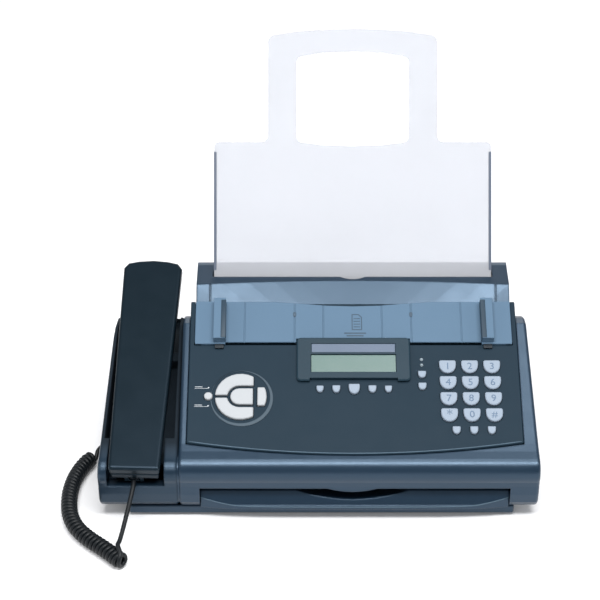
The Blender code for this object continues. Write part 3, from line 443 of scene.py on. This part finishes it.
def coil_points():
    """The wire's own line round the coil's route, from the top of its front end."""
    step = COIL_PITCH / TURN_POINTS
    centres = evenly(through([(x, y, COIL_Z) for x, y in COIL_ROUTE], ROUTE_STEPS), step)
    turns = math.floor((len(centres) - 1) / TURN_POINTS - LAST_TURN) + LAST_TURN
    centres = centres[:round(turns * TURN_POINTS) + 1]
    up = Vector((0, 0, 1))
    found = []
    for i, centre in enumerate(centres):
        along = (centres[min(i + 1, len(centres) - 1)] - centres[max(i - 1, 0)]).normalized()
        angle = 2 * math.pi * i / TURN_POINTS
        across = math.cos(angle) * up + math.sin(angle) * up.cross(along)
        found.append(centre + COIL_RADIUS * across)
    return found


def eased(points, middle):
    """The same line, with the bend at one point spread over its neighbours."""
    points = list(points)
    for _ in range(EASE_ROUNDS):
        for i in range(middle - EASE_REACH, middle + EASE_REACH + 1):
            share = 0.5 * (1 - abs(i - middle) / (EASE_REACH + 1))
            points[i] = points[i].lerp((points[i - 1] + points[i + 1]) / 2, share)
    return points


def cord():
    coil = coil_points()
    lead = through(LEAD_ROUTE + [tuple(coil[0]), tuple(coil[2])], LEAD_STEPS)[:-LEAD_STEPS]
    tail = through([tuple(coil[-2]), tuple(coil[-1])] + TAIL_ROUTE, TAIL_STEPS)[TAIL_STEPS:]
    line = eased(lead[:-1] + coil + tail[1:], len(lead) - 1)
    line = [point + MACHINE for point in eased(line, len(lead) + len(coil) - 2)]
    mesh = tube("handset_cord", line, WIRE_RADIUS, WIRE_SIDES)
    obj = piece("handset_cord", mesh, None, cord_jacket)
    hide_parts("cord_lead", "cord_coil", "cord_tail")
    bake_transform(obj)


camera()
cord_jacket = plastic("cord_jacket_soft", (0.003, 0.005, 0.007), 0.42, grain=1800, bump=0.3, specular=0.28)
cord()
studio()

slate = plastic("slate_moulding", (0.007, 0.018, 0.034), 0.30, edge=0.25, specular=0.75,
                tint=STEEL_BLUE, tone=0.05, radius=0.0015)
# The cradle's moulding, with painted shade inside its well
cradle_slate = plastic("cradle_moulding", (0.007, 0.017, 0.030), 0.32, edge=0.2, specular=0.6,
                       tint=STEEL_BLUE, radius=0.0025, well_shade=True)
panel_slate = plastic("panel_moulding", (0.010, 0.025, 0.040), 0.50, edge=0.15, specular=0.12, tone=0.05)
blue = plastic("ledge_moulding", (0.086, 0.152, 0.228), 0.45, edge=0.2, specular=0.2, tone=0.05)
bezel = plastic("bezel_moulding", (0.013, 0.033, 0.050), 0.42, edge=0.25, specular=0.2)
pale_key = plastic("pale_key_cap", (0.255, 0.312, 0.385), 0.40, grain=3200, bump=0.15, tone=0.04,
                   specular=0.3)
white_key = plastic("white_key_cap", (0.38, 0.40, 0.42), 0.38, grain=3200, bump=0.15, tone=0.03)
handset_black = plastic("handset_moulding", (0.003, 0.008, 0.012), 0.33, edge=0.3, bump=0.2,
                        specular=0.3, tint=STEEL_BLUE, radius=0.0012)
rubber = plastic("rubber_compound", (0.020, 0.020, 0.021), 0.80, grain=1500, bump=0.5)
nylon = plastic("nylon_moulding", (0.62, 0.61, 0.56), 0.50)
steel = plastic("plated_steel", (0.50, 0.51, 0.53), 0.34, metallic=1.0, bump=0.1)
ribbon = plastic("film_ribbon", (0.020, 0.020, 0.026), 0.25, grain=900)
board = plastic("board_lacquer", (0.020, 0.120, 0.055), 0.38, grain=700, bump=0.6)
clear = clear_plastic("clear_moulding", (0.69, 0.705, 0.745), 0.08, 0.58)
smoke = plastic("support_edge", (0.10, 0.12, 0.16), 0.30)
resin = plastic("plug_resin_dark", (0.012, 0.014, 0.017), 0.20)
lcd = plastic("display_glass", (0.072, 0.142, 0.127), 0.16, grain=5000, bump=0.02, tone=0.05,
              coat=0.3, specular=0.3)
label = plastic("label_card", (0.080, 0.116, 0.178), 0.35, grain=4000, bump=0.05, tone=0.04)
ink = plastic("key_ink", (0.10, 0.16, 0.25), 0.55, grain=4000, bump=0.05, tone=0.05)
white_ink = plastic("white_ink", (0.62, 0.66, 0.70), 0.55, grain=4000, bump=0.05, tone=0.05)
mark = plastic("ledge_mark", (0.030, 0.062, 0.098), 0.50, bump=0.1)
# A light trim for painted highlights: the beads along the panel's front edge and the exit flap's lip
highlight_trim = plastic("lip_highlight", (0.060, 0.095, 0.125), 0.36, specular=0.6, tint=STEEL_BLUE)
ring_trim = plastic("rose_trim", (0.042, 0.070, 0.095), 0.42, specular=0.3)
# Painted shade for the guides' inner faces
guide_shade_blue = plastic("guide_painted_shade", (0.020, 0.042, 0.065), 0.45, specular=0.3)
dark_trim = plastic("dark_trim", (0.010, 0.016, 0.022), 0.40, specular=0.3)
lamp = plastic("lamp_lens", (0.24, 0.30, 0.34), 0.18, bump=0.02, coat=0.5)
brass = plastic("contact_brass", (0.70, 0.52, 0.24), 0.28, metallic=1.0, bump=0.05)

paint(["main_housing", "rear_housing", "bottom_housing", "exit_tray"], slate)
paint(["handset_cradle"], cradle_slate)
paint(["control_panel"], panel_slate)
paint(["document_ledge", "document_guide_left", "document_guide_right"], blue)
paint(["lcd_bezel"], bezel)
paint(["lcd_screen"], lcd)
keys = [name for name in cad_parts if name.startswith(("key_", "option_key", "menu_key", "side_key"))]
paint(keys, pale_key)
paint(["copy_key", "start_key", "stop_key", "hands_free_key", "mode_key"], white_key)
paint(["handset_upper", "handset_lower"], handset_black)
paint(["paper_support"], clear)
paint(["foot_front_left", "foot_front_right", "foot_rear_left", "foot_rear_right"], rubber)
paint(["platen_roller", "document_roller"], rubber)
paint(["motor_pinion", "guide_pinion", "hook_switch"], nylon)
paint(["drive_motor", "print_head"], steel)
paint(["film_supply_roll", "film_take_up_roll"], ribbon)
paint(["main_board"], board)
paint(["handset_plug", "base_plug"], resin)


# ---------------------------------------------------------------- small parts

def arc(centre, radius, start, end, steps):
    angles = [math.radians(start + (end - start) * i / steps) for i in range(steps + 1)]
    return [(centre[0] + radius * math.cos(a), centre[1] + radius * math.sin(a)) for a in angles]


def circle(x, y, radius, steps=24):
    return arc((x, y), radius, 0, 360 - 360 / steps, steps - 1)


def bar(x, y, width, length, corner=0.0):
    """A rectangle round a point, with round corners where asked."""
    half_x, half_y = width / 2 - corner, length / 2 - corner
    points = []
    for start, side_x, side_y in ((180, -1, -1), (270, 1, -1), (0, 1, 1), (90, -1, 1)):
        middle = (x + side_x * half_x, y + side_y * half_y)
        points += arc(middle, corner, start, start + 90, 4) if corner else [middle]
    return points


def mesh_of(curve_object):
    """A curve or text object as a closed mesh."""
    bpy.context.scene.collection.objects.link(curve_object)
    graph = bpy.context.evaluated_depsgraph_get()
    mesh = bpy.data.meshes.new_from_object(curve_object.evaluated_get(graph))
    bpy.data.objects.remove(curve_object)
    work = bmesh.new()
    work.from_mesh(mesh)
    bmesh.ops.remove_doubles(work, verts=work.verts, dist=0.00001)
    bmesh.ops.recalc_face_normals(work, faces=work.faces)
    work.to_mesh(mesh)
    work.free()
    return mesh


def prism(loops, low, high):
    """Closed outlines in a plane, filled from low to high. An outline inside another is a hole."""
    curve = bpy.data.curves.new("outline", "CURVE")
    curve.dimensions = "2D"
    curve.fill_mode = "BOTH"
    curve.extrude = (high - low) / 2
    for loop in loops:
        spline = curve.splines.new("POLY")
        spline.points.add(len(loop) - 1)
        for point, (x, y) in zip(spline.points, loop):
            point.co = (x, y, 0, 1)
        spline.use_cyclic_u = True
    mesh = mesh_of(bpy.data.objects.new("outline", curve))
    mesh.transform(Matrix.Translation((0, 0, (low + high) / 2)))
    return mesh


def turned(profiles, steps=20):
    """Closed solids turned round Z, each from (radius, z) pairs that start and end on the axis, with its own
    place."""
    work = bmesh.new()
    for (x, y), profile in profiles:
        rings = []
        for radius, z in profile[1:-1]:
            rings.append([work.verts.new((x + px, y + py, z)) for px, py in circle(0, 0, radius, steps)])
        ends = [work.verts.new((x, y, profile[0][1])), work.verts.new((x, y, profile[-1][1]))]
        for i in range(steps):
            after = (i + 1) % steps
            work.faces.new((ends[0], rings[0][after], rings[0][i]))
            work.faces.new((ends[1], rings[-1][i], rings[-1][after]))
            for low, high in zip(rings, rings[1:]):
                work.faces.new((low[i], low[after], high[after], high[i]))
    bmesh.ops.recalc_face_normals(work, faces=work.faces)
    mesh = bpy.data.meshes.new("turned")
    work.to_mesh(mesh)
    work.free()
    mesh.shade_smooth()
    mesh.set_sharp_from_angle(angle=math.radians(50))
    return mesh


def placed(name, mesh, matrix, body, material, soften=0.0):
    """A small part on the machine: its mesh is moved into place, and its edges are rounded where asked."""
    mesh.transform(matrix)
    obj = piece(name, mesh, body, material)
    if soften:
        made = obj.modifiers.new("soften", "BEVEL")
        made.width = soften
        made.segments = 2
        made.limit_method = "ANGLE"
    return obj


def on_panel(name, loops, low, high, material, soften=0.0, body="panel"):
    """A flat part on the control panel, between two heights above its plane."""
    placed(name, prism(loops, low, high), panel_matrix(), body, material, soften)


def display_label():
    gap = 0.0006
    outline = bar(LCD_X, STRIP_ALONG, LCD_WIDTH - gap, STRIP_LENGTH - gap, 0.0004)
    on_panel("label_strip", [outline], BEZEL_TOP - 0.0008, BEZEL_TOP - 0.0003, label, 0.00015)


def lamps():
    """Two small domed lenses, each on a flat rim."""
    rim, dome = 0.0013, 0.0010
    lens = [(0, -0.0002), (rim, -0.0002), (rim, 0.0003), (dome, 0.0003), (0.0009, 0.0008), (0.0005, 0.0011),
            (0, 0.0012)]
    lens = [(radius, PANEL_TOP + up) for radius, up in lens]
    mesh = turned([((LAMP_X, along), lens) for along in LAMP_ALONG], 16)
    placed("status_lamps", mesh, panel_matrix(), "panel", lamp)


def mode_marks():
    """Beside the mode key, a thin line, a bar above it and a dot at its end, twice."""
    loops = []
    for along in MODE_ALONG:
        loops.append(bar(MODE_X, along, 0.0110, 0.0003))
        loops.append(bar(MODE_X - 0.0022, along + 0.0014, 0.0060, 0.0005))
        loops.append(circle(MODE_X + 0.0057, along + 0.0007, 0.0006, 10))
    on_panel("mode_marks", loops, PANEL_TOP - 0.0001, PANEL_TOP + 0.0001, white_ink)


def rose_ring():
    """A low crescent round the big keys: widest at its lower right."""
    outer = circle(ROSE_X + 0.0009, ROSE_ALONG - 0.0011, 0.0251, 72)
    inner = circle(ROSE_X, ROSE_ALONG, 0.0236, 72)
    on_panel("rose_ring", [outer, inner], PANEL_TOP - 0.0001, PANEL_TOP + 0.0005, ring_trim,
             0.0002)


def legend(name, text, size, material):
    """A raised figure on a key, centred on the key's top and riding on it."""
    low, high = (Vector(corner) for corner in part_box(name))
    centre = panel_matrix().inverted() @ ((low + high) / 2)
    curve = bpy.data.curves.new(name, "FONT")
    curve.body = text
    curve.size = size
    curve.align_x = "CENTER"
    curve.align_y = "CENTER"
    curve.extrude = 0.00006
    curve.resolution_u = 3
    mesh = mesh_of(bpy.data.objects.new(name, curve))
    matrix = panel_matrix(centre.x, centre.y, KEY_TOP + 0.00003)
    placed(f"{name}_figure", mesh, matrix, name, material)


def legends():
    for number in range(10):
        legend(f"key_{number}", str(number), 0.0086, ink)
    legend("key_star", "*", 0.0110, ink)
    legend("key_hash", "#", 0.0080, ink)


def ledge_marks():
    """A page with a folded corner and two bars below it, which show how a sheet goes in, and a bead
    near each end of the ledge's back edge."""
    line, fold = 0.0007, 0.0028
    left, right, low, high = -0.0012, 0.0072, 0.1002, 0.1152
    outer = [(left, low), (right, low), (right, high - fold), (right - fold, high), (left, high)]
    corner = fold + line * 0.4
    inner = [(left + line, low + line), (right - line, low + line), (right - line, high - corner),
             (right - corner, high - line), (left + line, high - line)]
    middle = (left + right) / 2
    loops = [outer, inner]
    loops += [bar(middle, low + 0.0030 + 0.0026 * i, 0.0052, 0.0006) for i in range(4)]
    for along, width in ((0.0972, 0.0180), (0.0948, 0.0138)):
        loops.append(bar(0.0014, along, width, 0.0011, 0.0004))
    loops += [bar(x, 0.1150, 0.0026, 0.0044, 0.0012) for x in (-0.0480, 0.0475)]
    on_panel("ledge_marks", loops, LEDGE_TOP - 0.0001, LEDGE_TOP + 0.00012, mark)


def guide_toes():
    """Dark pads at the front ends of the two guides: painted shade of the notch where each blade meets the
    panel.
    """
    for name, side in (("guide_left", -1), ("guide_right", 1)):
        outline = bar(side * (GUIDE_X + 0.0048), LEDGE_FRONT - 0.0044, 0.0072, 0.0036, 0.0008)
        on_panel(f"{name}_toe", [outline], PANEL_TOP + 0.0003, PANEL_TOP + 0.0022, dark_trim,
                 0.0003, name)


def guide_cheeks():
    """Painted shade on the guides' inner faces, as dark strips which fold over their tops."""
    front, back = LEDGE_FRONT - 0.0006, LEDGE_FRONT + 0.0350
    low, high = LEDGE_TOP + 0.0016, BLADE_TOP + 0.0003
    under = high - 0.0005
    for name, side in (("guide_left", -1), ("guide_right", 1)):
        near, far = side * (GUIDE_X - 0.0004), side * (GUIDE_X + 0.0036)
        inner = near + side * 0.0006
        profile = [(near, low), (near, high), (far, high), (far, under), (inner, under), (inner, low)]
        mesh = prism([profile], -back, -front)
        mesh.transform(Matrix.Rotation(math.pi / 2, 4, "X"))
        placed(f"{name}_cheek", mesh, panel_matrix(), name, guide_shade_blue, 0.00025)


def seam_fill():
    """The dark strip in the joint between the cradle and the main housing. Its profile is in Y and Z and
    follows the bulge, just below its skin."""
    middle, reach, rise = (0.0130, 0.0360), 0.0119, 0.0112
    profile = [(0.0090, 0.0060), (0.0036, 0.0112), (0.0027, 0.0190), (0.0027, 0.0270)]
    for degrees in range(204, 99, -8):
        angle = math.radians(degrees)
        profile.append((middle[0] + reach * math.cos(angle), middle[1] + rise * math.sin(angle)))
    profile += [(0.0200, 0.0480), (0.0200, 0.0060)]
    turn = Matrix(((0, 0, 1, 0), (1, 0, 0, 0), (0, 1, 0, 0), (0, 0, 0, 1)))
    mesh = prism([profile], SEAM_X - 0.0026, SEAM_X + 0.0029)
    placed("seam_strip", mesh, Matrix.Translation(MACHINE) @ turn, "base", slate)


def bead(name, line, body):
    """A thin light bead along a line: a painted highlight on an edge."""
    piece(name, tube(name, line, 0.0005, 8), body, highlight_trim)


def flap_bead():
    """A painted highlight along the exit flap's lip: a light bead, which runs back and up at its ends."""
    steps = 40
    line = []
    for i in range(steps + 1):
        t = -1 + 2 * i / steps
        back = -0.0002 + 0.0047 * t ** 4
        up = FLAP_LIP + max(0.0, back - 0.0014) * 2.04
        line.append(MACHINE + Vector((FLAP_MIDDLE + FLAP_HALF * t, back + 0.0004, up)))
    bead("flap_bead", line, "base")


def panel_lip():
    """A painted highlight along the panel's bowed front edge: a light bead."""
    steps = 48
    half = PANEL_HALF - 0.0016
    line = []
    for i in range(steps + 1):
        x = -half + 2 * half * i / steps
        along = PANEL_FRONT + PANEL_BOW * (x / half) ** 2 + 0.0012
        line.append(panel_matrix() @ Vector((x, along, PANEL_TOP)))
    bead("panel_lip", line, "panel")


def support_matrix():
    return Matrix.Translation(SUPPORT_MOUTH) @ Matrix.Rotation(math.pi / 2 - SUPPORT_LEAN, 4, "X")


def support_edges():
    """The smoked rails along both sides of the clear sheet."""
    for name, side in (("left", -1), ("right", 1)):
        outline = bar(side * (SUPPORT_HALF - 0.0009), 0.0540, 0.0022, 0.0990, 0.0006)
        placed(f"support_rail_{name}", prism([outline], -0.0052, 0.0003), support_matrix(),
               "paper_support", smoke, 0.0003)


def handset_matrix():
    turn = Matrix.Rotation(HANDSET_YAW, 4, "Z") @ Matrix.Rotation(HANDSET_SLOPE, 4, "X")
    return Matrix.Translation(HANDSET_PLACE) @ turn


def handset_grilles():
    """Drilled discs over the earpiece and the mouthpiece: a hole in the middle, then rings of holes."""
    for name, along, radius, rings in (("earpiece", 0.170, 0.0105, ((6, 0.0034), (12, 0.0068))),
                                       ("mouthpiece", 0.032, 0.0080, ((6, 0.0032),))):
        loops = [circle(0, along, radius, 40)]
        for count, reach in ((1, 0), *rings):
            for i in range(count):
                angle = 2 * math.pi * i / count
                loops.append(circle(reach * math.cos(angle), along + reach * math.sin(angle), 0.0008, 10))
        mesh = prism(loops, POD_FACE - 0.0006, POD_FACE + 0.0001)
        placed(f"{name}_grille", mesh, handset_matrix(), "handset", dark_trim, 0.00015)


def back_details():
    """Contacts in the sockets, a row of vent louvres and the screws of the casing's underside."""
    wall = Matrix.Translation(MACHINE + Vector((0, REAR_WALL_Y, SOCKET_Z)))
    wall = wall @ Matrix.Rotation(math.pi / 2, 4, "X")
    pin = [(0, 0.0055), (0.0011, 0.0055), (0.0011, 0.0012), (0.0006, 0.0004), (0, 0.0003)]
    pins = turned([((MAINS_X + side * 0.0042, 0), pin) for side in (-1, 1)], 12)
    placed("mains_pins", pins, wall, "base", steel)
    contacts = []
    for socket in LINE_SOCKETS:
        contacts += [bar(socket + 0.0011 * (i - 1.5), -0.0035, 0.0005, 0.0030) for i in range(4)]
    placed("line_contacts", prism(contacts, 0.0025, 0.0052), wall, "base", brass)
    louvres = [bar(0.0100 + 0.0058 * i, 0.0300, 0.0026, 0.0260, 0.0012) for i in range(12)]
    placed("vent_louvres", prism(louvres, -0.0005, 0.0003), wall, "base", dark_trim, 0.0002)
    under = Matrix.Translation(MACHINE + Vector((0, 0, BASE_BOTTOM)))
    head = [(0, 0.0003), (0.0030, 0.0003), (0.0030, -0.0003), (0.0022, -0.0008), (0.0009, -0.0008),
            (0.0006, -0.0002), (0, -0.0002)]
    screws = turned([(place, head) for place in SCREWS], 16)
    placed("casing_screws", screws, under, "base", steel)


display_label()
lamps()
mode_marks()
rose_ring()
legends()
ledge_marks()
guide_toes()
guide_cheeks()
seam_fill()
flap_bead()
panel_lip()
support_edges()
handset_grilles()
back_details()


def floor():
    half = FLOOR_HALF
    mesh = bpy.data.meshes.new("floor")
    corners = [(-half, -half, 0), (half, -half, 0), (half, half, 0), (-half, half, 0)]
    mesh.from_pydata(corners, [], [(0, 1, 2, 3)])
    obj = bpy.data.objects.new("floor", mesh)
    bpy.context.scene.collection.objects.link(obj)
    pale = plastic("pale_floor", (0.88, 0.88, 0.89), 0.7, grain=300, bump=0.05, tone=0.01, specular=0.2)
    shader = pale.node_tree.nodes["Principled BSDF"]
    shader.inputs["Emission Color"].default_value = (1, 1, 1, 1)
    shader.inputs["Emission Strength"].default_value = FLOOR_GLOW
    mesh.materials.append(pale)


floor()
